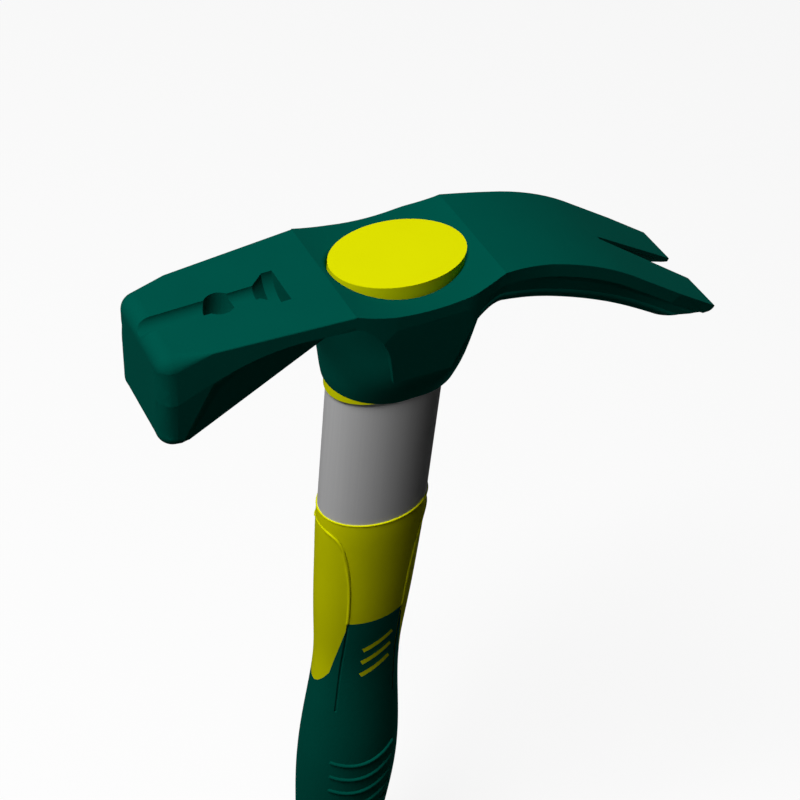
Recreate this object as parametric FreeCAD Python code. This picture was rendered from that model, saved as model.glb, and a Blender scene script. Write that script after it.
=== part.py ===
import FreeCAD, Part
import math
import os
from FreeCAD import Vector

os.makedirs("parts", exist_ok=True)

# Brick hammer. Millimetres, Z up the handle, +X towards the claw, -X towards the
# striking face. The origin is the middle of the hanging hole. In the head, a height
# written as dz is measured from the crest where the poll's top meets the eye.

# Whole tool
butt_to_crest = 325.0        # butt end up to the crest
hang_hole_to_butt = 14.0     # hanging hole down to the butt end
crest_z = butt_to_crest - hang_hole_to_butt
butt_z = -hang_hole_to_butt
beyond = 90.0                # reach of cutting bodies, well past what they cut

# Poll, the striking end
face_x = -68.0               # striking face
poll_crest_x = -20.5         # crest between the poll and the eye
poll_fall = 1.7              # drop of the poll's top from crest to face
face_half_width = 13.9
crest_half_width = 18.0
face_height = 29.0           # top to bottom of the striking face
face_corner_r = 5.0          # rounding of the face's four corners
face_edge_r = 4.2            # rounding of the face's rim
blend_x = -55.6              # where the corner rounding has run out
heel_x = -60.3               # where the underside starts to rise
heel_dz = -30.3
web_rise = 0.587             # slope of the underside from heel to eye
edge_r = 0.4                 # small rounding of the poll's long upper edges
heel_low_r = 2.4             # rounding of its long lower edges, at the heel
blend_low_r = 1.2            # where the corner rounding has run out
crest_low_r = 0.9            # and at the eye
side_flare = 0.02            # widening from the top to the parting line, as a slope
side_draft = 0.045           # forging draft below the parting line, as a slope
parting_face_dz = -17.5
parting_blend_dz = -10.6
parting_crest_dz = -3.0

# Hollows in the poll's sides
web_low_half = 12.0          # half thickness of the web at its bottom edges
web_draft = 0.14             # its sides lean out upwards by this slope
hollow_start = (-55.8, -10.5)   # upper front corner of the hollow
hollow_arch = (-45.5, -6.2)  # a point of its arched upper edge
hollow_rim_x = -33.0         # where that edge runs on straight along the rim
hollow_foot = (-62.8, -27.2)    # lower end of its front edge
cove_drop = 3.4              # height of the cove under the rim
cove_length = 3.0            # and its length behind the front edge
cove_proud = 0.6             # the cove starts this far outside the poll's side
rim_depth = 4.0              # depth of the rim along the poll's top near the eye

# Eye and cheeks
claw_crest_x = 21.2          # crest between the eye and the claw
claw_crest_dz = -0.4
valley_x = 0.4
valley_dz = -3.65            # lowest point of the top between the crests
cheek_half_width = 19.0
cheek_flat_x = 9.5           # half length of the flat cheek in plan
cheek_front = (-14.6, 0.33)  # points of the outline from above beside it: place along
cheek_back = (11.1, 0.07)    # the head, and how far inside the flat cheek
cheek_back_end = (12.6, 0.27)
claw_root = (19.8, 1.73)
cheek_rim_dz = -7.2          # parting line on the cheek
cheek_bottom_dz = -26.0
cheek_bottom_x = 8.3
cheek_bottom_fall = 0.6      # the cheek's lower edge drops this much towards the claw
cheek_arch = ((-20.0, -3.5), (-13.4, -9.7), (-9.8, -18.5))   # its arched front edge
cheek_rear = ((12.9, -12.5), (18.0, -3.0))   # its rear edge, up into the plate
cheek_top_front = (-17.5, -3.0)
cheek_draft = 0.055
collar_bottom_dz = -37.9
collar_shift = 0.7           # the collar stands a little towards the claw
collar_a = 18.5              # half length of the collar at its bottom
collar_b = 14.3              # half width of the collar at its bottom
collar_low_flat = 2.5        # half length of the straight sides at its bottom
collar_waist_dz = -27.0      # where its sides come up to the cheeks
collar_waist_a = 20.2
collar_waist_b = 17.4
collar_waist_flat = 4.5
collar_top_a = 27.9
collar_top_b = 18.1
collar_bulge = 0.35          # swell of its sides between lip and waist
collar_lip_r = 0.8

# Claw
claw_mid = (45.0, -5.8)      # a point of the claw's curved top
claw_bend = (64.8, -16.0)    # where the curve turns straight
claw_tip = (94.0, -34.9)
claw_waist_half_width = 16.1
claw_waist_x = 36.0
claw_inside = (26.5, 0.35)   # a point between root and waist, and how far outside the waist
claw_tip_half_width = 18.4
claw_corner = (4.3, 0.9)     # corner cut at each tip, along and across
claw_rim = 4.0               # upright depth of the claw's side edge
claw_under_dz = -36.6        # flat under the tips
claw_toe_r = 1.8             # rounding under the tips
keel_half_width = 11.8
keel_widening = 1.2          # how much it widens from waist to tips
keel_spread = 5.5            # and spreads out at the tips besides
keel_spread_x = 66.0         # where the spread starts
keel_inset = 1.2             # its top stays this far inside the plate's edges
keel_step = 0.7              # least step from there in to its flank
keel_overlap = 1.0           # its top starts this far below the plate's
keel_shoulder = 2.4          # upright part of its top
keel_cove = 7.6              # height over which the flank curves in
keel_foot = 4.4              # rounding of its lower edges
keel_depth = 16.0            # thickness of the claw over its keel
keel_tip_depth = 9.8
keel_thin_x = 50.0           # where it starts to get thinner
keel_start_x = 26.0          # evenly spaced sections start here
keel_pitch = 10.0
keel_count = 8
keel_sweep = ((14.0, 12.0), (18.0, 6.4), (22.0, 1.8))   # place and added depth, to the collar

# Nail slot in the claw
slot_apex_x = 62.2
slot_apex_half = 0.55
slot_mouth_half = 4.75
slot_lip = 1.3               # depth of the upright wall under the top
slot_bevel = (4.8, 6.0)      # relief ground from below: widening and height
slot_reach = 6.0             # how far the cut runs out past the tips

# Nail holder on the poll
groove_r = 2.45
pit_x = -47.6
pit_r = 3.85
pit_depth = 7.6
magnet_thick = 3.0
seat_cone_start_x = -38.1
seat_cone_end_x = -34.2
seat_end_x = -31.5
seat_cone_r = 5.73
seat_r = 5.67
seat_overlap = 0.01          # the seat's cut starts this much inside the cone's

# Handle tube, an oval steel tube
tube_a = 16.7                # half length of the oval, along X
tube_b = 11.3                # half width of the oval, along Y
tube_wall = 1.5
tube_top_dz = -6.4
grip_top_dz = -88.4
swage_a = 12.6               # half length inside the lower grip
swage_b = 8.0
swage_top_dz = -93.0
swage_end_dz = -140.0

# Sleeve between tube and head
sleeve_wall = 0.6
sleeve_play = 0.05           # glue gap inside and outside the sleeve
sleeve_below_head = 3.3      # how far it shows below the head on the poll side
sleeve_slant = 4.8           # its lower end rises this much towards the claw side

# Cap over the eye
cap_a = 18.4
cap_b = 12.5
cap_top_dz = -0.35
cap_gap = 0.3
cap_spigot = 9.0
spigot_wall = 2.0
mouth_r = 1.3                # rounded mouth of the eye around the cap

# Expander pressed into the top of the tube
expander_length = 22.0
expander_hole_r = 4.0

# Grip
grip_wall = 1.6              # grip thickness where it starts under the head
overmould_thick = 1.3
panel_top_dz = -134.3        # upper edge of the green overmould
panel_top_half = 9.1
panel_mid_dz = -161.0
panel_mid_half = 12.3
panel_low_half = 24.0        # past the grip's width, so it goes all round below
panel_low_dz = -196.0
seam_width = 0.8
seam_depth = 0.5
seam_path = ((17.4, -93.0), (14.6, -94.8), (12.9, -97.8), (11.4, -104.0), (10.1, -113.0),
             (9.3, -124.0), (9.1, -136.0), (9.3, -150.0), (9.7, -164.0), (10.4, -180.0))
bar_middle_x = 1.5
bar_width = 2.2
bar_length = 11.0
bar_pitch = 6.4
bar_count = 3
bar_slant = 24               # degrees
bar_top_dz = -147.0

# Butt cap and hanging hole
hang_hole_r = 4.0
butt_cap_height = 24.0
butt_spigot = 14.0
tube_bottom_z = butt_z + butt_cap_height
fit_gap = 0.1


def side_point(x, dz):
    return Vector(x, 0, crest_z + dz)


def line(p, q):
    return Part.LineSegment(p, q).toShape()


def arc(p, m, q):
    return Part.Arc(p, m, q).toShape()


def wire_of(edges):
    return Part.Wire(edges)


def prism_y(wire, half):
    """Solid of a side outline, reaching half to each side."""
    face = Part.Face(wire)
    face.translate(Vector(0, -half, 0))
    return face.extrude(Vector(0, 2 * half, 0))


def prism_z(wire, low, high):
    face = Part.Face(wire)
    face.translate(Vector(0, 0, low - wire.BoundBox.ZMin))
    return face.extrude(Vector(0, 0, high - low))


def oval(a, b, z, cx=0.0):
    return Part.Wire(Part.Ellipse(Vector(cx, 0, z), a, b).toShape())


def oval_prism(a, b, low, high, cx=0.0):
    return Part.Face(oval(a, b, low, cx)).extrude(Vector(0, 0, high - low))


def oval_loft(sections, ruled=False):
    """Solid through ovals given as (a, b, z, cx)."""
    return Part.makeLoft([oval(*s) for s in sections], True, ruled)


def rounded_wire(points, radii):
    """Closed wire through points, each corner rounded by its radius."""
    corners = []
    count = len(points)
    for i in range(count):
        p, r = points[i], radii[i]
        back = (points[i - 1] - p).normalize()
        ahead = (points[(i + 1) % count] - p).normalize()
        if r == 0:
            corners.append((p, None, p))
            continue
        half = back.getAngle(ahead) / 2
        reach = r / math.tan(half)
        towards = (back + ahead).normalize()
        middle = p + towards * (r / math.sin(half) - r)
        corners.append((p + back * reach, middle, p + ahead * reach))
    edges = []
    for i in range(count):
        start, middle, end = corners[i]
        if middle is not None:
            edges.append(arc(start, middle, end))
        edges.append(line(end, corners[(i + 1) % count][0]))
    return wire_of(edges)


def poll_top_dz(x):
    return -poll_fall * (poll_crest_x - x) / (poll_crest_x - face_x)


def poll_half_width(x):
    share = (poll_crest_x - x) / (poll_crest_x - face_x)
    return crest_half_width - share * (crest_half_width - face_half_width)


def underside_dz(x):
    return heel_dz + web_rise * (x - heel_x)


def poll_section(x, parting, bottom, top_r, bottom_r):
    """One upright section of the poll, with a kink at the parting line."""
    top = poll_top_dz(x)
    w = poll_half_width(x)
    w_part = w + side_flare * (top - parting)
    w_low = w_part - side_draft * (parting - bottom)
    pts = [(-w, top), (w, top), (w_part, parting), (w_low, bottom),
           (-w_low, bottom), (-w_part, parting)]
    points = [Vector(x, y, crest_z + dz) for y, dz in pts]
    return rounded_wire(points, [top_r, top_r, 0, bottom_r, bottom_r, 0])


def poll():
    bottom_face = -poll_fall - face_height
    part_slope = (parting_blend_dz - parting_face_dz) / (blend_x - face_x)
    heel_share = (blend_x - heel_x) / (blend_x - face_x)
    sections = [
        poll_section(face_x, parting_face_dz, bottom_face, face_corner_r, face_corner_r),
        poll_section(heel_x, parting_face_dz + part_slope * (heel_x - face_x), heel_dz,
                     edge_r + heel_share * (face_corner_r - edge_r), heel_low_r),
        poll_section(blend_x, parting_blend_dz, underside_dz(blend_x), edge_r, blend_low_r),
        poll_section(poll_crest_x, parting_crest_dz, underside_dz(poll_crest_x),
                     edge_r, crest_low_r)]
    body = Part.makeLoft(sections, True, True)
    rim = [e for e in body.Edges
           if e.BoundBox.XMax < face_x + 0.01]
    body = body.makeFillet(face_edge_r, rim)
    return body.cut(side_hollow(1)).cut(side_hollow(-1))


def side_hollow(side):
    """Hollow in one side of the poll: coved in under the rim, open below."""
    slant = (hollow_foot[0] - hollow_start[0]) / (hollow_foot[1] - hollow_start[1])
    low_dz = heel_dz - cove_drop
    low_x = hollow_start[0] + slant * (low_dz - hollow_start[1])
    end_x = poll_crest_x + cove_length
    edge = [(hollow_start, cove_length, -cove_drop), (hollow_arch, 0, -cove_drop),
            ((hollow_rim_x, -rim_depth), 0, -cove_drop), ((end_x, -rim_depth), 0, -cove_drop),
            ((end_x, low_dz), 0, 0), ((low_x, low_dz), cove_length, 0)]

    def outline(share, inward, outward=0.0):
        pts = []
        for (x, dz), shift_x, shift_dz in edge:
            x, dz = x + share * shift_x, dz + share * shift_dz
            rim_half = poll_half_width(x) + cove_proud
            web_half = web_low_half + web_draft * (dz - underside_dz(x))
            y = rim_half + inward * (web_half - rim_half) + outward
            pts.append(Vector(x, side * y, crest_z + dz))
        return wire_of([arc(pts[0], pts[1], pts[2])]
                       + [line(p, q) for p, q in zip(pts[2:], pts[3:] + pts[:1])])

    cove = Part.makeLoft([outline(share, inward) for share, inward in
                          ((0, 0), (0.12, 0.38), (0.42, 0.8), (1, 1))], True, False)
    mouth = Part.makeLoft([outline(0, 0), outline(0, 0, crest_half_width)], True, True)
    return cove.fuse(mouth)


def head_plan():
    """Outline of the eye and the claw from above."""
    w1 = cheek_half_width
    waist = claw_waist_half_width
    tip_x = claw_tip[0]
    corner_x = tip_x - claw_corner[0]
    start_x = poll_crest_x - cheek_flat_x
    half = [((start_x, poll_half_width(start_x)), None),
            ((poll_crest_x, crest_half_width), None),
            ((-cheek_flat_x, w1), (cheek_front[0], w1 - cheek_front[1])),
            ((cheek_flat_x, w1), None),
            ((cheek_back_end[0], w1 - cheek_back_end[1]), (cheek_back[0], w1 - cheek_back[1])),
            ((claw_root[0], w1 - claw_root[1]), None),
            ((claw_waist_x, waist), (claw_inside[0], waist + claw_inside[1])),
            ((corner_x, claw_tip_half_width), None),
            ((tip_x, claw_tip_half_width - claw_corner[1]), None)]
    edges = []
    for side in (1, -1):
        chain = []
        for (p, _), (q, via) in zip(half[:-1], half[1:]):
            a, b = Vector(p[0], side * p[1], 0), Vector(q[0], side * q[1], 0)
            if via is None:
                chain.append(line(a, b))
            else:
                chain.append(arc(a, Vector(via[0], side * via[1], 0), b))
        edges.append(chain)
    first, last = half[0][0], half[-1][0]
    edges = (edges[0] + [line(Vector(last[0], last[1], 0), Vector(last[0], -last[1], 0))]
             + edges[1] + [line(Vector(first[0], -first[1], 0), Vector(first[0], first[1], 0))])
    return Part.Wire(Part.__sortEdges__(edges))


def claw_top_dz(x):
    """Height of the claw's top, a circle through crest, middle and bend, then a line."""
    if x >= claw_bend[0]:
        share = (x - claw_bend[0]) / (claw_tip[0] - claw_bend[0])
        return claw_bend[1] + share * (claw_tip[1] - claw_bend[1])
    (x1, z1), (x2, z2), (x3, z3) = (claw_crest_x, claw_crest_dz), claw_mid, claw_bend
    d = 2 * (x1 * (z2 - z3) + x2 * (z3 - z1) + x3 * (z1 - z2))
    s1, s2, s3 = x1 * x1 + z1 * z1, x2 * x2 + z2 * z2, x3 * x3 + z3 * z3
    cx = (s1 * (z2 - z3) + s2 * (z3 - z1) + s3 * (z1 - z2)) / d
    cz = (s1 * (x3 - x2) + s2 * (x1 - x3) + s3 * (x2 - x1)) / d
    r = math.hypot(x1 - cx, z1 - cz)
    return cz + math.sqrt(r * r - (x - cx) ** 2)


def top_edges(drop):
    """The head's top from the poll's crest to the claw's tip, lowered by drop."""
    def point(x, dz):
        return side_point(x, dz - drop)
    return [
        arc(point(poll_crest_x, 0), point(valley_x, valley_dz),
            point(claw_crest_x, claw_crest_dz)),
        arc(point(claw_crest_x, claw_crest_dz), point(*claw_mid), point(*claw_bend)),
        line(point(*claw_bend), point(*claw_tip))]


def head_plate():
    """The top of eye and claw, as deep as its upright rim."""
    low = claw_rim
    tip, bend, mid = claw_tip, claw_bend, claw_mid
    edges = top_edges(0) + [
        line(side_point(*tip), side_point(tip[0], tip[1] - low)),
        line(side_point(tip[0], tip[1] - low), side_point(bend[0], bend[1] - low)),
        arc(side_point(bend[0], bend[1] - low), side_point(mid[0], mid[1] - low),
            side_point(claw_crest_x, claw_crest_dz - low)),
        arc(side_point(claw_crest_x, claw_crest_dz - low), side_point(valley_x, cheek_rim_dz),
            side_point(poll_crest_x, -rim_depth)),
        line(side_point(poll_crest_x, -rim_depth), side_point(poll_crest_x, 0))]
    return prism_y(wire_of(edges), beyond)


def below_top(drop):
    """Everything lower than the top by drop, to trim what joins the plate."""
    left, right, deep = poll_crest_x - cap_a, claw_tip[0] + cap_a, -beyond
    slope = (claw_tip[1] - claw_bend[1]) / (claw_tip[0] - claw_bend[0])
    start, tip = side_point(poll_crest_x, -drop), side_point(claw_tip[0], claw_tip[1] - drop)
    far = side_point(right, claw_tip[1] + slope * cap_a - drop)
    edges = [line(side_point(left, -2 * drop), start)] + top_edges(drop) + [
        line(tip, far), line(far, side_point(right, deep)),
        line(side_point(right, deep), side_point(left, deep)),
        line(side_point(left, deep), side_point(left, -2 * drop))]
    return prism_y(wire_of(edges), beyond)


def keel_section(x, depth):
    """Section of the claw's body below its rim: coved flanks, rounded bottom edges."""
    top = claw_top_dz(x) - keel_overlap
    share = min(max((x - claw_waist_x) / (claw_tip[0] - claw_waist_x), 0), 1)
    plate_half = claw_waist_half_width + share * (claw_tip_half_width - claw_waist_half_width)
    wide = plate_half - keel_inset
    spread_share = max(0, x - keel_spread_x) / (last_keel_x() - keel_spread_x)
    spread = keel_spread * spread_share ** 1.5
    w = min(keel_half_width + share * keel_widening + spread, wide - keel_step)
    cove, foot = min(keel_cove, 0.45 * depth), min(keel_foot, 0.3 * depth)
    low = top + keel_overlap - depth
    shoulder = top - keel_shoulder
    half = [(wide, top), (wide, shoulder),
            (0.4 * wide + 0.6 * w, shoulder - 0.4 * (cove - keel_shoulder)),
            (w + 0.04 * cove, top - cove), (w - 0.04 * foot, low + foot),
            (w - 0.25 * foot, low + 0.27 * foot), (w - 0.9 * foot, low)]
    right = [Vector(x, y, crest_z + dz) for y, dz in half]
    left = [Vector(p.x, -p.y, p.z) for p in right]
    return wire_of([line(right[0], right[1]), arc(*right[1:4]), line(right[3], right[4]),
                    arc(*right[4:7]), line(right[6], left[6]), arc(*left[6:3:-1]),
                    line(left[4], left[3]), arc(*left[3:0:-1]), line(left[1], left[0]),
                    line(left[0], right[0])])


def last_keel_x():
    return keel_start_x + keel_pitch * (keel_count - 1)


def keel():
    """The claw's body, in even steps, and the sweep from it down into the collar."""

    def depth_at(x):
        thinning = max(0, x - keel_thin_x) / (last_keel_x() - keel_thin_x)
        return keel_depth - thinning ** 1.3 * (keel_depth - keel_tip_depth)

    places = [keel_start_x + i * keel_pitch for i in range(keel_count)]
    outer = [keel_section(x, depth_at(x)) for x in places]
    sweep = [keel_section(x, keel_depth + extra)
             for x, extra in keel_sweep + ((keel_start_x, 0.0),)]
    return Part.makeLoft(outer, True, False).fuse(Part.makeLoft(sweep, True, False))


def toe_limit():
    """Everything the claw may fill: above its flat underside, rounded at the toe."""
    x, z = claw_tip[0], claw_under_dz
    r = claw_toe_r
    corner = side_point(x - r + r * math.sin(math.pi / 4), z + r - r * math.cos(math.pi / 4))
    toe_start, toe_end = side_point(x - r, z), side_point(x, z + r)
    rest = [toe_end, side_point(x, beyond), side_point(-beyond, beyond),
            side_point(-beyond, -beyond), side_point(claw_waist_x, -beyond),
            side_point(claw_waist_x, z), toe_start]
    edges = [arc(toe_start, corner, toe_end)]
    edges += [line(p, q) for p, q in zip(rest[:-1], rest[1:])]
    return prism_y(wire_of(edges), beyond)


def cheek_half_at(dz):
    return cheek_half_width - cheek_draft * max(0, cheek_rim_dz - dz)


def head_sides():
    """Space inside the outline from above and between the two drafted cheeks."""
    low_dz, top_dz = collar_bottom_dz - keel_depth, keel_depth
    low = cheek_half_at(low_dz)
    top = cheek_half_width + cheek_draft * (top_dz - cheek_rim_dz)
    pts = [(-top, top_dz), (top, top_dz), (low, low_dz), (-low, low_dz)]
    wire = Part.makePolygon([Vector(-beyond, y, crest_z + dz) for y, dz in pts + pts[:1]])
    wedge = Part.Face(wire).extrude(Vector(3 * beyond, 0, 0))
    plan = prism_z(head_plan(), crest_z + low_dz - keel_depth, crest_z + keel_foot)
    return plan.common(wedge)


def cheeks():
    """Flat cheek block, arched on the poll side."""
    arch = [side_point(*p) for p in cheek_arch]
    low_front = side_point(-cheek_bottom_x, cheek_bottom_dz)
    low_rear = side_point(cheek_bottom_x, cheek_bottom_dz - cheek_bottom_fall)
    rest = [arch[-1], low_front, low_rear] + [side_point(*p) for p in cheek_rear]
    rest += [side_point(*cheek_top_front), arch[0]]
    edges = [arc(*arch)] + [line(p, q) for p, q in zip(rest[:-1], rest[1:])]
    return prism_y(wire_of(edges), beyond)


def flat_oval(a, b, flat, dz):
    """Oval with straight sides of half length flat, shifted like the collar."""
    c, z = collar_shift, crest_z + dz
    edges = []
    for side in (1, -1):
        points = []
        for i in range(9):
            turn = math.radians(90 - 22.5 * i)
            points.append(Vector(c + side * (flat + (a - flat) * math.cos(turn)),
                                 side * b * math.sin(turn), z))
        curve = Part.BSplineCurve()
        curve.interpolate(points)
        edges += [curve.toShape(), line(points[-1], Vector(2 * c - points[-1].x, -side * b, z))]
    return wire_of(edges)


def collar():
    """Flares from its lip to the waist, then goes up nearly straight into the head."""
    lip = (collar_a, collar_b, collar_low_flat, collar_bottom_dz)
    waist = (collar_waist_a, collar_waist_b, collar_waist_flat, collar_waist_dz)
    top = (collar_top_a, collar_top_b, collar_waist_flat, 0)

    def between(low, high, share, bulge=0.0):
        a, b, flat, dz = [p + share * (q - p) for p, q in zip(low, high)]
        return flat_oval(a, b + bulge, flat, dz)

    sections = [flat_oval(*lip), between(lip, waist, 0.5, collar_bulge), flat_oval(*waist)]
    sections += [between(waist, top, share) for share in (0.3, 0.65, 1.0)]
    body = Part.makeLoft(sections, True, False)
    low_edges = [e for e in body.Edges if e.BoundBox.ZMax < crest_z + collar_bottom_dz + 0.01]
    return body.makeFillet(collar_lip_r, low_edges)


def eye_cut():
    """Oval eye for the sleeve, widened at its top for the cap."""
    layer = sleeve_wall + 2 * sleeve_play
    low, high = crest_z + collar_bottom_dz - cap_spigot, crest_z + cap_spigot
    bore = oval_prism(tube_a + layer, tube_b + layer, low, high)
    seat = oval_prism(cap_a + cap_gap, cap_b + cap_gap, crest_z + tube_top_dz, high)
    return bore.fuse(seat)


def nail_slot():
    """V slot between the claw's tips, with its walls cut back underneath."""
    reach = claw_tip[0] + slot_reach
    spread = (slot_mouth_half - slot_apex_half) / (claw_tip[0] - slot_apex_x)
    slope = (claw_tip[1] - claw_bend[1]) / (claw_tip[0] - claw_bend[0])

    def outline(drop, wider):
        pts = []
        for x, side in ((slot_apex_x - wider, 1), (reach, 1), (reach, -1),
                        (slot_apex_x - wider, -1)):
            half = slot_apex_half + wider + spread * (x - slot_apex_x + wider)
            z = claw_top_dz(claw_bend[0]) + slope * (x - claw_bend[0]) + drop
            pts.append(Vector(x, side * half, crest_z + z))
        return Part.makePolygon(pts + pts[:1])

    widening, height = slot_bevel
    above, below = keel_depth, claw_under_dz - 2 * slot_reach
    levels = [(above, 0), (-slot_lip, 0), (-slot_lip - height, widening), (below, widening)]
    parts = [Part.makeLoft([outline(*low), outline(*high)], True, True)
             for low, high in zip(levels[:-1], levels[1:])]
    return parts[0].fuse(parts[1:])


def nail_holder():
    """Groove for the nail, pit for the magnet, and the seat behind the nail's head."""
    top = crest_z + poll_top_dz(pit_x)
    tilt = math.atan2(poll_fall, poll_crest_x - face_x)
    along = Vector(math.cos(tilt), 0, math.sin(tilt))

    def start(x):
        return Vector(x, 0, crest_z + poll_top_dz(x))

    run_out = 2 * face_corner_r
    groove = Part.makeCylinder(groove_r, seat_cone_end_x - face_x + run_out,
                               start(face_x - run_out), along)
    cone = Part.makeCone(groove_r, seat_cone_r, seat_cone_end_x - seat_cone_start_x,
                         start(seat_cone_start_x), along)
    seat = Part.makeCylinder(seat_r, seat_end_x - seat_cone_end_x + seat_overlap,
                             start(seat_cone_end_x - seat_overlap), along)
    hole = Part.makeCylinder(pit_r, pit_depth + magnet_thick + run_out,
                             Vector(pit_x, 0, top - pit_depth - magnet_thick))
    return groove.fuse([cone, seat, hole])


def hammer_head():
    trim = below_top(1.5)
    body = head_plate()
    for lower in (collar(), cheeks(), keel()):
        body = body.fuse(lower.common(trim))
    body = body.common(head_sides()).fuse(poll()).common(toe_limit())
    body = body.cut(eye_cut()).cut(nail_slot()).cut(nail_holder())
    rim = [e for e in body.Edges if on_eye_rim(e)]
    if rim and mouth_r > 0:
        body = body.makeFillet(mouth_r, rim)
    return body


def on_eye_rim(edge):
    """True for the edges where the cap's seat comes out at the top."""
    box = edge.BoundBox
    if box.ZMin < crest_z + valley_dz - 0.2 or edge.Length < 3:
        return False
    a, b = cap_a + cap_gap, cap_b + cap_gap
    for p in edge.discretize(5):
        if abs((p.x / a) ** 2 + (p.y / b) ** 2 - 1) > 0.01:
            return False
    return True


def holder_magnet():
    top = crest_z + poll_top_dz(pit_x) - pit_depth
    return Part.makeCylinder(pit_r, magnet_thick, Vector(pit_x, 0, top - magnet_thick))


def eye_sleeve():
    inner_a, inner_b = tube_a + sleeve_play, tube_b + sleeve_play
    a, b = inner_a + sleeve_wall, inner_b + sleeve_wall
    head_low, high = crest_z + collar_bottom_dz, crest_z + tube_top_dz
    low = head_low - sleeve_below_head
    ring = oval_prism(a, b, low, high).cut(oval_prism(inner_a, inner_b, low, high))
    below = [Vector(-a, 0, low), Vector(a, 0, low + sleeve_slant), Vector(a, 0, low - b),
             Vector(-2 * a, 0, low - b), Vector(-2 * a, 0, low)]
    wedge = prism_y(Part.makePolygon(below + below[:1]), beyond)
    return ring.cut(wedge)


def eye_cap():
    low = crest_z + tube_top_dz
    body = oval_prism(cap_a, cap_b, low, crest_z + cap_top_dz)
    a, b = tube_a - tube_wall - fit_gap, tube_b - tube_wall - fit_gap
    spigot = oval_prism(a, b, low - cap_spigot, low)
    hollow = oval_prism(a - spigot_wall, b - spigot_wall, low - cap_spigot, low - tube_wall)
    return body.fuse(spigot).cut(hollow)


def tube_expander():
    high = crest_z + tube_top_dz - cap_spigot
    a, b = tube_a - tube_wall, tube_b - tube_wall
    body = oval_prism(a, b, high - expander_length, high)
    hole = Part.makeCylinder(expander_hole_r, expander_length,
                             Vector(0, 0, high - expander_length))
    return body.cut(hole)


def handle_tube():
    top, shoulder = crest_z + tube_top_dz, crest_z + grip_top_dz
    taper_top, taper_end = crest_z + swage_top_dz, crest_z + swage_end_dz
    bottom = tube_bottom_z

    def stack(inset):
        a, b = tube_a - inset, tube_b - inset
        neck_a, neck_b = tube_a - grip_wall - inset, tube_b - grip_wall - inset
        low_a, low_b = swage_a - inset, swage_b - inset
        reach = inset
        upper = oval_prism(a, b, shoulder + inset, top + reach)
        neck_top = shoulder + inset - grip_wall
        step = oval_loft([(a, b, shoulder + inset, 0), (neck_a, neck_b, neck_top, 0)], True)
        neck = oval_loft([(neck_a, neck_b, neck_top, 0), (neck_a, neck_b, taper_top, 0)], True)
        taper = oval_loft([(neck_a, neck_b, taper_top, 0), (low_a, low_b, taper_end, 0)], True)
        lower = oval_prism(low_a, low_b, bottom - reach, taper_end)
        return upper.fuse([step, neck, taper, lower])

    return stack(0).cut(stack(tube_wall)).removeSplitter()


# Grip outline: height under the crest, half length, half width, shift along X
grip_shape = [
    (grip_top_dz, 16.95, 11.55, 0.0), (-104.0, 16.75, 11.4, 0.0), (-122.0, 16.2, 11.05, 0.0),
    (-142.0, 15.3, 10.45, 0.0), (-162.0, 14.65, 10.05, 0.0), (-180.0, 15.6, 11.2, 0.0),
    (-202.0, 17.3, 13.0, 0.3), (-226.0, 17.9, 13.9, 0.5), (-254.0, 16.6, 13.2, 0.2),
    (-280.0, 16.2, 12.6, 0.0), (-304.0, 18.6, 13.6, -0.4), (-325.0, 21.0, 14.6, -0.8)]


def grip_solid(inset=0.0):
    sections = [(a - inset, b - inset, crest_z + dz, cx) for dz, a, b, cx in grip_shape]
    return oval_loft(sections)


def overmould_zone():
    """Side outline of the soft part, right through both sides."""
    half = [(panel_top_half, panel_top_dz), (panel_mid_half, panel_mid_dz),
            (panel_low_half, panel_low_dz), (panel_low_half, -butt_to_crest - beyond)]
    pts = half + [(-x, dz) for x, dz in half[::-1]]
    wire = Part.makePolygon([side_point(x, dz) for x, dz in pts + pts[:1]])
    return prism_y(wire, beyond)


def seam_strip(side):
    """Thin curved strip that marks the seam beside each panel."""
    curve = Part.BSplineCurve()
    curve.interpolate([side_point(side * x, dz) for x, dz in seam_path])
    half = seam_width / 2
    left, right = [], []
    for i in range(25):
        u = curve.FirstParameter + (curve.LastParameter - curve.FirstParameter) * i / 24
        p, t = curve.value(u), curve.tangent(u)[0]
        n = Vector(-t.z, 0, t.x) * half
        left.append(p + n)
        right.append(p - n)
    one, two = Part.BSplineCurve(), Part.BSplineCurve()
    one.interpolate(left)
    two.interpolate(right)
    wire = wire_of([one.toShape(), line(left[-1], right[-1]), two.toShape(),
                    line(right[0], left[0])])
    return prism_y(wire, beyond)


def panel_bars():
    """Slanted bars, generic, showing the hard core through the soft panel."""
    bars = []
    for i in range(bar_count):
        middle = side_point(bar_middle_x, bar_top_dz - i * bar_pitch)
        box = Part.makeBox(bar_length, 2 * beyond, bar_width,
                           middle - Vector(bar_length / 2, beyond, bar_width / 2))
        box.rotate(middle, Vector(0, 1, 0), -bar_slant)
        bars.append(box)
    return bars[0].fuse(bars[1:])


def grip_parts():
    full = grip_solid()
    above_cap = Part.makeBox(2 * beyond, 2 * beyond, butt_to_crest,
                             Vector(-beyond, -beyond, tube_bottom_z))
    full = full.common(above_cap)
    core = grip_solid(overmould_thick)
    soft = full.cut(core).common(overmould_zone()).cut(panel_bars())
    inside = handle_tube_envelope()
    seam = full.cut(grip_solid(seam_depth)).common(seam_strip(1).fuse(seam_strip(-1)))
    hard = full.cut(soft).cut(inside).cut(seam)
    return hard, soft.cut(seam)


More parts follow.
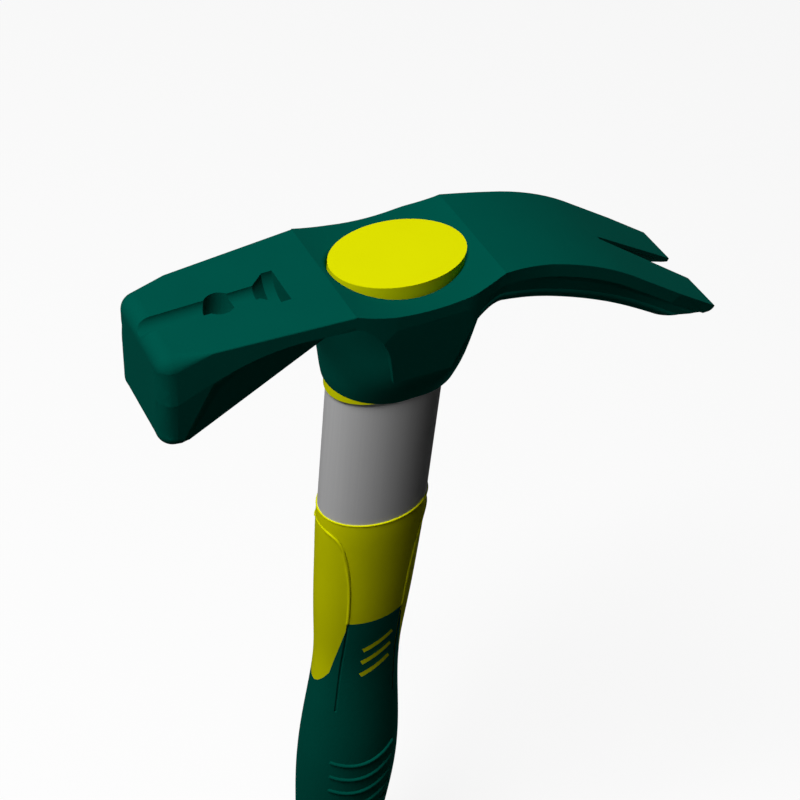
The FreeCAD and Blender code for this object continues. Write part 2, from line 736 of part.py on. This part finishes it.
def handle_tube_envelope():
    """Outer form of the tube, cut from whatever sits on it."""
    shoulder = crest_z + grip_top_dz
    neck_a, neck_b = tube_a - grip_wall, tube_b - grip_wall
    a, b = tube_a, tube_b
    step = oval_loft([(a, b, shoulder, 0), (neck_a, neck_b, shoulder - grip_wall, 0)], True)
    neck = oval_loft([(neck_a, neck_b, shoulder - grip_wall, 0),
                      (neck_a, neck_b, crest_z + swage_top_dz, 0)], True)
    taper = oval_loft([(neck_a, neck_b, crest_z + swage_top_dz, 0),
                       (swage_a, swage_b, crest_z + swage_end_dz, 0)], True)
    lower = oval_prism(swage_a, swage_b, butt_z - butt_spigot, crest_z + swage_end_dz)
    return step.fuse([neck, taper, lower])


def butt_cap():
    below = Part.makeBox(2 * beyond, 2 * beyond, butt_cap_height, Vector(-beyond, -beyond, butt_z))
    body = grip_solid().common(below)
    spigot = oval_prism(swage_a - tube_wall - fit_gap, swage_b - tube_wall - fit_gap,
                        tube_bottom_z - fit_gap, tube_bottom_z + butt_spigot)
    hole = Part.makeCylinder(hang_hole_r, 2 * beyond, Vector(0, -beyond, 0), Vector(0, 1, 0))
    return body.fuse(spigot).cut(hole)


def save(name, shape):
    solids = shape.Solids
    if len(solids) != 1:
        print("warning:", name, "has", len(solids), "solids")
    solid = max(solids, key=lambda s: s.Volume)
    box = solid.BoundBox
    print("%-16s valid=%s volume=%9.1f  x %.1f..%.1f  y %.1f..%.1f  z %.1f..%.1f" % (
        name, solid.isValid(), solid.Volume, box.XMin, box.XMax, box.YMin, box.YMax,
        box.ZMin, box.ZMax))
    solid.exportStep("parts/%s.step" % name)


grip_body, grip_overmould = grip_parts()
save("hammer_head", hammer_head())
save("holder_magnet", holder_magnet())
save("eye_sleeve", eye_sleeve())
save("eye_cap", eye_cap())
save("tube_expander", tube_expander())
save("handle_tube", handle_tube())
save("grip_body", grip_body)
save("grip_overmould", grip_overmould)
save("butt_cap", butt_cap())
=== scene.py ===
import math

import bpy
from mathutils import Matrix, Vector


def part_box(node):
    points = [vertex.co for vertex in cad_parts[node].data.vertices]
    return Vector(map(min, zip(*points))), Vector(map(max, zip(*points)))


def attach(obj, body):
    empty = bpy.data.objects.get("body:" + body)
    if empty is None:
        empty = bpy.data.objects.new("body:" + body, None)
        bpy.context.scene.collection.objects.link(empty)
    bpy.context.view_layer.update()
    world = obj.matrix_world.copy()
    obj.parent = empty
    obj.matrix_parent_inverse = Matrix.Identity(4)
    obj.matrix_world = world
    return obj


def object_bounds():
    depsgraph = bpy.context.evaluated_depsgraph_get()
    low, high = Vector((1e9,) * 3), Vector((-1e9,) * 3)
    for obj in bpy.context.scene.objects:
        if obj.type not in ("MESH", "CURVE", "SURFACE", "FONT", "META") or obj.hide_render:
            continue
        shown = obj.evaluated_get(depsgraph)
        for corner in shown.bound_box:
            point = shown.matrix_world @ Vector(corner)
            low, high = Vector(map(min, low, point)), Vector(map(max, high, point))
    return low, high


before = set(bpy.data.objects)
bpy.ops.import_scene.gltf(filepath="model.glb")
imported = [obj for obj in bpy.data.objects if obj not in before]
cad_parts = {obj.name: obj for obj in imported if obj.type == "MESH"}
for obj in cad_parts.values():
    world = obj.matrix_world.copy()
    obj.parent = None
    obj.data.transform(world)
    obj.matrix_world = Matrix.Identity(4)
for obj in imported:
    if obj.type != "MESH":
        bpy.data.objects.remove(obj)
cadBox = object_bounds()
print("frame loaded:", len(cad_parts), "CAD nodes")

mm = 0.001
white = (1.0, 1.0, 1.0, 1.0)
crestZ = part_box("hammer_head")[1].z     # heights below are drops from the head's crest
colourA, colourB, mixedColour = 6, 7, 2     # a Mix node's sockets when it mixes colours


def toLinear(hexColour):
    channels = [int(hexColour[i:i + 2], 16) / 255 for i in (1, 3, 5)]
    linear = [c / 12.92 if c <= 0.04045 else ((c + 0.055) / 1.055) ** 2.4 for c in channels]
    return (*linear, 1.0)


def perMetre(sizeMm):
    return 1000.0 / sizeMm   # noise scale whose blotches are about this many millimetres


def addNode(tree, kind, inputs=None, **settings):
    node = tree.nodes.new(kind)
    for key, value in settings.items():
        setattr(node, key, value)
    for name, value in (inputs or {}).items():
        if isinstance(value, bpy.types.NodeSocket):
            tree.links.new(value, node.inputs[name])
        else:
            node.inputs[name].default_value = value
    return node


def newMaterial(name):
    material = bpy.data.materials.new(name)
    material.use_nodes = True
    material.node_tree.nodes.clear()
    return material, material.node_tree


def addObject(name, data):
    made = bpy.data.objects.new(name, data)
    bpy.context.scene.collection.objects.link(made)
    return made


def plainMesh(made):
    bpy.context.view_layer.update()
    depsgraph = bpy.context.evaluated_depsgraph_get()
    return bpy.data.meshes.new_from_object(made.evaluated_get(depsgraph))


# Air-dried enamel over a drop-forged steel head: nearly matt, with a faint orange peel
# over the slow waves that the forging scale leaves under the paint.
enamel = dict(colour="#00564A", thinColour="#005B4E", roughness=0.9, gloss=0.01, ior=1.5,
              peelMm=1.1, peelDepthMm=0.012, forgeMm=9.0, forgeDepthMm=0.05, blotchMm=14.0)


def forgedHeadEnamel():
    material, tree = newMaterial("forgedHeadEnamel")
    place = addNode(tree, "ShaderNodeTexCoord").outputs["Object"]
    blotch = addNode(tree, "ShaderNodeTexNoise",
                     {"Vector": place, "Scale": perMetre(enamel["blotchMm"]), "Detail": 3.0})
    colour = addNode(tree, "ShaderNodeMix",
                     {"Factor": blotch.outputs[0], colourA: toLinear(enamel["colour"]),
                      colourB: toLinear(enamel["thinColour"])}, data_type="RGBA")
    peel = addNode(tree, "ShaderNodeTexNoise",
                   {"Vector": place, "Scale": perMetre(enamel["peelMm"]), "Detail": 2.0})
    forge = addNode(tree, "ShaderNodeTexNoise",
                    {"Vector": place, "Scale": perMetre(enamel["forgeMm"]), "Detail": 1.0})
    waves = addNode(tree, "ShaderNodeBump", {"Height": forge.outputs[0], "Strength": 1.0,
                                             "Distance": enamel["forgeDepthMm"] * mm})
    skin = addNode(tree, "ShaderNodeBump", {"Height": peel.outputs[0], "Strength": 1.0,
                                            "Distance": enamel["peelDepthMm"] * mm,
                                            "Normal": waves.outputs[0]})
    shader = addNode(tree, "ShaderNodeBsdfPrincipled",
                     {"Base Color": colour.outputs[mixedColour],
                      "Roughness": enamel["roughness"], "Specular IOR Level": enamel["gloss"],
                      "IOR": enamel["ior"], "Normal": skin.outputs[0]})
    addNode(tree, "ShaderNodeOutputMaterial", {"Surface": shader.outputs[0]})
    return material


# Injection-moulded glass-filled nylon, coloured through: a dull satin, with the fine grain
# of a spark-eroded mould. The grain is drawn three times coarser than real to show.
nylon = dict(colour="#FAFC00", shadeColour="#F2F400", roughness=0.7, gloss=0.02, ior=1.5,
             grainMm=0.7, grainDepthMm=0.01, blotchMm=22.0)


def mouldedYellowNylon():
    material, tree = newMaterial("mouldedYellowNylon")
    place = addNode(tree, "ShaderNodeTexCoord").outputs["Object"]
    blotch = addNode(tree, "ShaderNodeTexNoise",
                     {"Vector": place, "Scale": perMetre(nylon["blotchMm"]), "Detail": 2.0})
    colour = addNode(tree, "ShaderNodeMix",
                     {"Factor": blotch.outputs[0], colourA: toLinear(nylon["colour"]),
                      colourB: toLinear(nylon["shadeColour"])}, data_type="RGBA")
    grain = addNode(tree, "ShaderNodeTexNoise",
                    {"Vector": place, "Scale": perMetre(nylon["grainMm"]), "Detail": 3.0})
    skin = addNode(tree, "ShaderNodeBump", {"Height": grain.outputs[0], "Strength": 1.0,
                                            "Distance": nylon["grainDepthMm"] * mm})
    shader = addNode(tree, "ShaderNodeBsdfPrincipled",
                     {"Base Color": colour.outputs[mixedColour],
                      "Roughness": nylon["roughness"], "Specular IOR Level": nylon["gloss"],
                      "IOR": nylon["ior"], "Normal": skin.outputs[0]})
    addNode(tree, "ShaderNodeOutputMaterial", {"Surface": shader.outputs[0]})
    return material


# Cold-drawn steel tube under a light grey lacquer: matt, with faint draw lines that run
# along the tube and are drawn coarser than real to show.
tubeSteel = dict(colour="#E6E6E6", lineColour="#DEDEDF", roughness=0.7, gloss=0.02, ior=1.5,
                 lineMm=0.5, lineLengthMm=45.0, lineDepthMm=0.004)


def lacqueredSteelTube():
    material, tree = newMaterial("lacqueredSteelTube")
    place = addNode(tree, "ShaderNodeTexCoord").outputs["Object"]
    along = tubeSteel["lineMm"] / tubeSteel["lineLengthMm"]
    stretch = addNode(tree, "ShaderNodeMapping", {"Vector": place, "Scale": (1.0, 1.0, along)})
    lines = addNode(tree, "ShaderNodeTexNoise",
                    {"Vector": stretch.outputs[0], "Scale": perMetre(tubeSteel["lineMm"]),
                     "Detail": 2.0})
    colour = addNode(tree, "ShaderNodeMix",
                     {"Factor": lines.outputs[0], colourA: toLinear(tubeSteel["colour"]),
                      colourB: toLinear(tubeSteel["lineColour"])}, data_type="RGBA")
    skin = addNode(tree, "ShaderNodeBump", {"Height": lines.outputs[0], "Strength": 1.0,
                                            "Distance": tubeSteel["lineDepthMm"] * mm})
    shader = addNode(tree, "ShaderNodeBsdfPrincipled",
                     {"Base Color": colour.outputs[mixedColour],
                      "Roughness": tubeSteel["roughness"],
                      "Specular IOR Level": tubeSteel["gloss"],
                      "IOR": tubeSteel["ior"], "Normal": skin.outputs[0]})
    addNode(tree, "ShaderNodeOutputMaterial", {"Surface": shader.outputs[0]})
    return material


# Thermoplastic elastomer moulded over the nylon: quite dull, with a close pebble grain for
# hold. The pebbles are drawn at about twice their size.
rubber = dict(colour="#005A4C", wornColour="#006052", roughness=0.92, gloss=0.01, ior=1.5,
              pebbleMm=0.9, pebbleDepthMm=0.035, blotchMm=18.0)


def overmouldElastomer():
    material, tree = newMaterial("overmouldElastomer")
    place = addNode(tree, "ShaderNodeTexCoord").outputs["Object"]
    blotch = addNode(tree, "ShaderNodeTexNoise",
                     {"Vector": place, "Scale": perMetre(rubber["blotchMm"]), "Detail": 3.0})
    colour = addNode(tree, "ShaderNodeMix",
                     {"Factor": blotch.outputs[0], colourA: toLinear(rubber["colour"]),
                      colourB: toLinear(rubber["wornColour"])}, data_type="RGBA")
    pebbles = addNode(tree, "ShaderNodeTexVoronoi",
                      {"Vector": place, "Scale": perMetre(rubber["pebbleMm"])})
    skin = addNode(tree, "ShaderNodeBump", {"Height": pebbles.outputs["Distance"],
                                            "Strength": 1.0,
                                            "Distance": rubber["pebbleDepthMm"] * mm},
                   invert=True)
    shader = addNode(tree, "ShaderNodeBsdfPrincipled",
                     {"Base Color": colour.outputs[mixedColour],
                      "Roughness": rubber["roughness"], "Specular IOR Level": rubber["gloss"],
                      "IOR": rubber["ior"], "Normal": skin.outputs[0]})
    addNode(tree, "ShaderNodeOutputMaterial", {"Surface": shader.outputs[0]})
    return material


# Nickel plating on a sintered magnet: bright but finely matt from tumbling.
nickel = dict(colour="#B4B2AC", roughness=0.36, grainMm=0.5, grainDepthMm=0.01)


def nickelPlating():
    material, tree = newMaterial("nickelPlating")
    place = addNode(tree, "ShaderNodeTexCoord").outputs["Object"]
    grain = addNode(tree, "ShaderNodeTexNoise",
                    {"Vector": place, "Scale": perMetre(nickel["grainMm"]), "Detail": 3.0})
    skin = addNode(tree, "ShaderNodeBump", {"Height": grain.outputs[0], "Strength": 1.0,
                                            "Distance": nickel["grainDepthMm"] * mm})
    shader = addNode(tree, "ShaderNodeBsdfPrincipled",
                     {"Base Color": toLinear(nickel["colour"]), "Metallic": 1.0,
                      "Roughness": nickel["roughness"], "Normal": skin.outputs[0]})
    addNode(tree, "ShaderNodeOutputMaterial", {"Surface": shader.outputs[0]})
    return material


# Black acetal of the plug inside the tube: slightly waxy, with the fine rings of turning.
acetal = dict(colour="#1E1E1F", roughness=0.5, ringMm=0.6, ringDepthMm=0.01, acrossMm=30.0)


def turnedBlackAcetal():
    material, tree = newMaterial("turnedBlackAcetal")
    place = addNode(tree, "ShaderNodeTexCoord").outputs["Object"]
    across = acetal["ringMm"] / acetal["acrossMm"]
    flat = addNode(tree, "ShaderNodeMapping",
                   {"Vector": place, "Scale": (across, across, 1.0)})
    rings = addNode(tree, "ShaderNodeTexNoise",
                    {"Vector": flat.outputs[0], "Scale": perMetre(acetal["ringMm"])})
    skin = addNode(tree, "ShaderNodeBump", {"Height": rings.outputs[0], "Strength": 1.0,
                                            "Distance": acetal["ringDepthMm"] * mm})
    shader = addNode(tree, "ShaderNodeBsdfPrincipled",
                     {"Base Color": toLinear(acetal["colour"]),
                      "Roughness": acetal["roughness"], "Normal": skin.outputs[0]})
    addNode(tree, "ShaderNodeOutputMaterial", {"Surface": shader.outputs[0]})
    return material


finishes = {
    "head": forgedHeadEnamel(), "yellow": mouldedYellowNylon(), "tube": lacqueredSteelTube(),
    "soft": overmouldElastomer(), "magnet": nickelPlating(), "plug": turnedBlackAcetal()}

nodeFinish = {
    "hammer_head": "head", "holder_magnet": "magnet", "eye_sleeve": "yellow",
    "eye_cap": "yellow", "tube_expander": "plug", "handle_tube": "tube",
    "grip_body": "yellow", "grip_overmould": "soft", "butt_cap": "yellow"}
for node, finish in nodeFinish.items():
    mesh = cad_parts[node].data
    mesh.materials.clear()
    mesh.materials.append(finishes[finish])
print("finishes on", len(nodeFinish), "CAD nodes")

# Round beads that are laid on the grip: how finely, and how far they look for its surface.
beading = dict(stepMm=0.7, sides=10, rayMm=200.0)
# which way a line is pressed on: square across the handle, or straight to its axis
acrossHandle, toAxis = (0.0, -1.0, 0.0), (-1.0, -1.0, 0.0)


def beadTree():
    tree = bpy.data.node_groups.new("beadLaidOnSurface", "GeometryNodeTree")
    for name, kind in (("Path", "Geometry"), ("Surface", "Object"), ("Copies", "Int"),
                       ("Pitch", "Float"), ("Inward", "Vector"), ("Bead width", "Float"),
                       ("Rise", "Float"), ("Step", "Float"), ("Sides", "Int"),
                       ("Ray length", "Float"), ("Finish", "Material")):
        tree.interface.new_socket(name, in_out="INPUT", socket_type="NodeSocket" + kind)
    tree.interface.new_socket("Bead", in_out="OUTPUT", socket_type="NodeSocketGeometry")
    given = addNode(tree, "NodeGroupInput").outputs

    down = addNode(tree, "ShaderNodeMath", {0: given["Pitch"], 1: -1.0}, operation="MULTIPLY")
    offset = addNode(tree, "ShaderNodeCombineXYZ", {"Z": down.outputs[0]})
    stack = addNode(tree, "GeometryNodeMeshLine",
                    {"Count": given["Copies"], "Offset": offset.outputs[0]})
    copies = addNode(tree, "GeometryNodeInstanceOnPoints",
                     {"Points": stack.outputs[0], "Instance": given["Path"]})
    lines = addNode(tree, "GeometryNodeRealizeInstances", {0: copies.outputs[0]})
    even = addNode(tree, "GeometryNodeResampleCurve",
                   {"Curve": lines.outputs[0], "Length": given["Step"]}, mode="LENGTH")

    # each point goes inwards, across the handle or to its axis, until it meets the surface
    here = addNode(tree, "GeometryNodeInputPosition")
    inward = addNode(tree, "ShaderNodeVectorMath",
                     {0: here.outputs[0], 1: given["Inward"]}, operation="MULTIPLY")
    inwardUnit = addNode(tree, "ShaderNodeVectorMath", {0: inward.outputs[0]},
                         operation="NORMALIZE")
    surface = addNode(tree, "GeometryNodeObjectInfo", {"Object": given["Surface"]},
                      transform_space="RELATIVE")
    hit = addNode(tree, "GeometryNodeRaycast",
                  {"Target Geometry": surface.outputs["Geometry"],
                   "Source Position": here.outputs[0],
                   "Ray Direction": inwardUnit.outputs[0], "Ray Length": given["Ray length"]})
    lift = addNode(tree, "ShaderNodeVectorMath",
                   {0: hit.outputs["Hit Normal"], "Scale": given["Rise"]}, operation="SCALE")
    seat = addNode(tree, "ShaderNodeVectorMath",
                   {0: hit.outputs["Hit Position"], 1: lift.outputs[0]}, operation="ADD")
    laid = addNode(tree, "GeometryNodeSetPosition",
                   {"Geometry": even.outputs[0], "Position": seat.outputs[0]})
    missed = addNode(tree, "FunctionNodeBooleanMath", {0: hit.outputs["Is Hit"]},
                     operation="NOT")
    kept = addNode(tree, "GeometryNodeDeleteGeometry",
                   {"Geometry": laid.outputs[0], "Selection": missed.outputs[0]},
                   domain="POINT")

    half = addNode(tree, "ShaderNodeMath", {0: given["Bead width"], 1: 0.5},
                   operation="MULTIPLY")
    section = addNode(tree, "GeometryNodeCurvePrimitiveCircle",
                      {"Resolution": given["Sides"], "Radius": half.outputs[0]})
    bead = addNode(tree, "GeometryNodeCurveToMesh",
                   {"Curve": kept.outputs[0], "Profile Curve": section.outputs[0],
                    "Fill Caps": True})
    smooth = addNode(tree, "GeometryNodeSetShadeSmooth", {0: bead.outputs[0]})
    real = addNode(tree, "GeometryNodeRealizeInstances", {0: smooth.outputs[0]})
    painted = addNode(tree, "GeometryNodeSetMaterial",
                      {"Geometry": real.outputs[0], "Material": given["Finish"]})
    addNode(tree, "NodeGroupOutput", {"Bead": painted.outputs[0]})
    return tree


beadNodes = beadTree()


def layBeads(name, lines, sizes, closed=False):
    curve = bpy.data.curves.new(name, "CURVE")
    curve.dimensions = "3D"
    for points in lines:
        spline = curve.splines.new("POLY")
        spline.points.add(len(points) - 1)
        for target, p in zip(spline.points, points):
            target.co = (*p, 1.0)
        spline.use_cyclic_u = closed
    path = addObject(name + "Path", curve)
    modifier = path.modifiers.new("bead", "NODES")
    modifier.node_group = beadNodes
    sockets = {s.name: s.identifier for s in beadNodes.interface.items_tree
               if s.item_type == "SOCKET" and s.in_out == "INPUT"}
    evenly = {"Step": beading["stepMm"] * mm, "Sides": beading["sides"],
              "Ray length": beading["rayMm"] * mm}
    for key, value in {**sizes, **evenly}.items():
        modifier[sockets[key]] = value
    mesh = plainMesh(path)
    mesh.name = name
    path.modifiers.clear()
    bpy.data.objects.remove(path)
    piece = addObject(name, mesh)
    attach(piece, "root")
    print(name, "laid:", len(mesh.polygons), "faces")
    return piece


# Side outline of the seam bead: distance from the middle and drop below the crest, in mm.
# It follows the groove that the grip has for it.
seam = dict(line=((15.8, 93.9), (14.6, 94.8), (12.9, 97.8), (11.4, 104.0), (10.1, 113.0),
                  (9.3, 124.0), (9.1, 136.0), (9.3, 150.0), (9.7, 164.0), (10.4, 179.5)),
            widthMm=0.95, riseMm=0.38, reachMm=60.0, steps=8)


def seamLine(sideX, sideY):
    curve = bpy.data.curves.new("seamGuide", "CURVE")
    curve.dimensions = "3D"
    spline = curve.splines.new("BEZIER")
    spline.bezier_points.add(len(seam["line"]) - 1)
    for handle, (x, drop) in zip(spline.bezier_points, seam["line"]):
        handle.co = (sideX * x * mm, sideY * seam["reachMm"] * mm, crestZ - drop * mm)
        handle.handle_left_type = handle.handle_right_type = "AUTO"
    spline.resolution_u = seam["steps"]
    guide = addObject("seamGuide", curve)
    line = [v.co.copy() for v in plainMesh(guide).vertices]
    bpy.data.objects.remove(guide)
    return line


seamLines = [seamLine(sideX, sideY) for sideX in (1, -1) for sideY in (1, -1)]
seamBead = layBeads("gripSeamBead", seamLines, {
    "Surface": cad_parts["grip_body"], "Copies": 1, "Pitch": 0.0,
    "Inward": acrossHandle, "Bead width": seam["widthMm"] * mm,
    "Rise": seam["riseMm"] * mm, "Finish": finishes["yellow"]})

# A thin rim along the grip's top edge. Its points start at a few times the oval's size.
rim = dict(wallMm=1.6, underEdgeMm=0.15, widthMm=0.6, riseMm=-0.12, standOff=3.0,
           stepDegrees=3)
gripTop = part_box("grip_body")[1].z
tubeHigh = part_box("handle_tube")[1]


def rimPoint(degrees):
    turn, wall = math.radians(degrees), rim["wallMm"] * mm
    return (rim["standOff"] * (tubeHigh.x + wall) * math.cos(turn),
            rim["standOff"] * (tubeHigh.y + wall) * math.sin(turn),
            gripTop - rim["underEdgeMm"] * mm)


rimLine = [rimPoint(degrees) for degrees in range(0, 360, rim["stepDegrees"])]
rimBead = layBeads("gripRimBead", [rimLine], {
    "Surface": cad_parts["grip_body"], "Copies": 1, "Pitch": 0.0, "Inward": toAxis,
    "Bead width": rim["widthMm"] * mm, "Rise": rim["riseMm"] * mm,
    "Finish": finishes["yellow"]}, closed=True)

# Grip ribs on the lower, soft half of the handle.
ribs = dict(count=11, pitchMm=8.0, firstDropMm=206.0, halfLengthMm=11.5, bowMm=3.0,
            widthMm=1.3, riseMm=0.12, reachMm=60.0, points=17)


def ribLine(sideY):
    line = []
    for i in range(ribs["points"]):
        share = 2 * i / (ribs["points"] - 1) - 1      # from -1 to 1 along the rib
        drop = ribs["firstDropMm"] + ribs["bowMm"] * (1 - share * share)
        line.append((share * ribs["halfLengthMm"] * mm, sideY * ribs["reachMm"] * mm,
                     crestZ - drop * mm))
    return line


gripRibs = layBeads("softGripRibs", [ribLine(1), ribLine(-1)], {
    "Surface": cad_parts["grip_overmould"], "Copies": ribs["count"],
    "Pitch": ribs["pitchMm"] * mm, "Inward": acrossHandle,
    "Bead width": ribs["widthMm"] * mm, "Rise": ribs["riseMm"] * mm,
    "Finish": finishes["soft"]})


# 1 for what the camera sees by itself, in a gloss or through glass, and 0 for lighting
def seenDirectly(tree):
    path = addNode(tree, "ShaderNodeLightPath").outputs
    some = addNode(tree, "ShaderNodeMath",
                   {0: path["Is Camera Ray"], 1: path["Is Glossy Ray"]}, operation="MAXIMUM")
    either = addNode(tree, "ShaderNodeMath",
                     {0: some.outputs[0], 1: path["Is Transmission Ray"]}, operation="MAXIMUM")
    return either.outputs[0]


# bounceColour: what the floor counts as for the light that it sends back to the hammer
# own: share of the floor's white that the camera sees however it is lit
floorPaper = dict(halfMetres=3.0, colour="#F8F8F8", bounceColour="#1F1F1F", own=0.87)


def paleFloor():
    half, z = floorPaper["halfMetres"], cadBox[0].z
    mesh = bpy.data.meshes.new("paleFloor")
    mesh.from_pydata([(-half, -half, z), (half, -half, z), (half, half, z), (-half, half, z)],
                     [], [(0, 1, 2, 3)])
    material, tree = newMaterial("matPaper")
    seen = seenDirectly(tree)
    tone = addNode(tree, "ShaderNodeMix",
                   {"Factor": seen, colourA: toLinear(floorPaper["bounceColour"]),
                    colourB: toLinear(floorPaper["colour"])}, data_type="RGBA")
    lit = addNode(tree, "ShaderNodeBsdfDiffuse", {"Color": tone.outputs[mixedColour]})
    glow = addNode(tree, "ShaderNodeEmission", {"Color": white, "Strength": 1.0})
    share = addNode(tree, "ShaderNodeMath", {0: seen, 1: floorPaper["own"]},
                    operation="MULTIPLY")
    mix = addNode(tree, "ShaderNodeMixShader", {0: share.outputs[0], 1: lit.outputs[0],
                                                2: glow.outputs[0]})
    addNode(tree, "ShaderNodeOutputMaterial", {"Surface": mix.outputs[0]})
    mesh.materials.append(material)
    return addObject("paleFloor", mesh)


floor = paleFloor()
print("floor laid")

# fill: strength of the world's light, which the camera sees as plain white all the same
studio = dict(fill=0.012)
world = bpy.data.worlds.new("studioWhite")
world.use_nodes = True
bpy.context.scene.world = world
worldTree = world.node_tree
worldTree.nodes.clear()
strength = addNode(worldTree, "ShaderNodeMapRange", {"Value": seenDirectly(worldTree),
                                                     "To Min": studio["fill"], "To Max": 1.0})
sky = addNode(worldTree, "ShaderNodeBackground", {"Color": white,
                                                  "Strength": strength.outputs[0]})
addNode(worldTree, "ShaderNodeOutputWorld", {"Surface": sky.outputs[0]})

keyPlace = ((0.0, 0.0, 0.30), (-0.46, -0.105, 0.88), 1.3, 0.55)
lamps = {
    # name: what it points at, direction it comes from, distance, size across, watts
    "keyOnFloor": (*keyPlace, 24.0),
    "keyOnHammer": (*keyPlace, 15.0),
    "sideLeft": ((0.0, 0.0, 0.30), (-0.80, -0.55, 0.15), 1.2, 0.6, 0.35),
    "backSoft": ((0.0, 0.0, 0.20), (0.38, 0.92, 0.0), 1.4, 0.35, 2.2)}
lampObjects = {}
for name, (target, towards, distance, size, watts) in lamps.items():
    lamp = bpy.data.lights.new(name, "AREA")
    lamp.shape, lamp.size, lamp.energy = "DISK", size, watts
    direction = Vector(towards).normalized()
    lampObjects[name] = addObject(name, lamp)
    lampObjects[name].matrix_world = (
        Matrix.Translation(Vector(target) + direction * distance)
        @ direction.to_track_quat("Z", "Y").to_matrix().to_4x4())


def lampGroup(name, state, pieces):
    group = bpy.data.collections.new(name)
    for piece in pieces:
        group.objects.link(piece)
    for member in group.collection_objects:
        member.light_linking.link_state = state
    return group


# The two key lamps share one place. One lights the floor alone, so the whole hammer's
# shadow falls there. The other lights the hammer, and the head doesn't keep it off the
# handle. The lamp from behind lights the hammer alone.
handleNodes = ("eye_sleeve", "handle_tube", "grip_body", "grip_overmould", "butt_cap")
headNodes = ("hammer_head", "holder_magnet", "eye_cap")
handlePieces = [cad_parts[node] for node in handleNodes] + [seamBead, rimBead, gripRibs]
hammerPieces = handlePieces + [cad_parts[node] for node in headNodes]
hammerOnly = lampGroup("hammerOnly", "INCLUDE", hammerPieces)
lampObjects["keyOnFloor"].light_linking.receiver_collection = lampGroup(
    "floorOnly", "EXCLUDE", hammerPieces)
lampObjects["keyOnHammer"].light_linking.receiver_collection = hammerOnly
lampObjects["keyOnHammer"].light_linking.blocker_collection = lampGroup(
    "handleBlocks", "INCLUDE", handlePieces)
lampObjects["backSoft"].light_linking.receiver_collection = hammerOnly
print("lamps set:", len(lamps))

view = dict(place=(-0.1587, -0.2562, 0.5530), azimuth=-32.675, elevation=44.141, roll=6.649,
            lensMm=70.41, sensorMm=36.0, clipStart=0.02)
lens = bpy.data.cameras.new("viewCamera")
lens.lens, lens.sensor_width = view["lensMm"], view["sensorMm"]
lens.clip_start = view["clipStart"]
camera = addObject("viewCamera", lens)
camera.matrix_world = (Matrix.Translation(view["place"])
                       @ Matrix.Rotation(math.radians(view["azimuth"]), 4, "Z")
                       @ Matrix.Rotation(math.radians(90 - view["elevation"]), 4, "X")
                       @ Matrix.Rotation(math.radians(view["roll"]), 4, "Z"))
bpy.context.scene.camera = camera
bpy.context.scene.view_settings.view_transform = "Standard"
print("camera set")
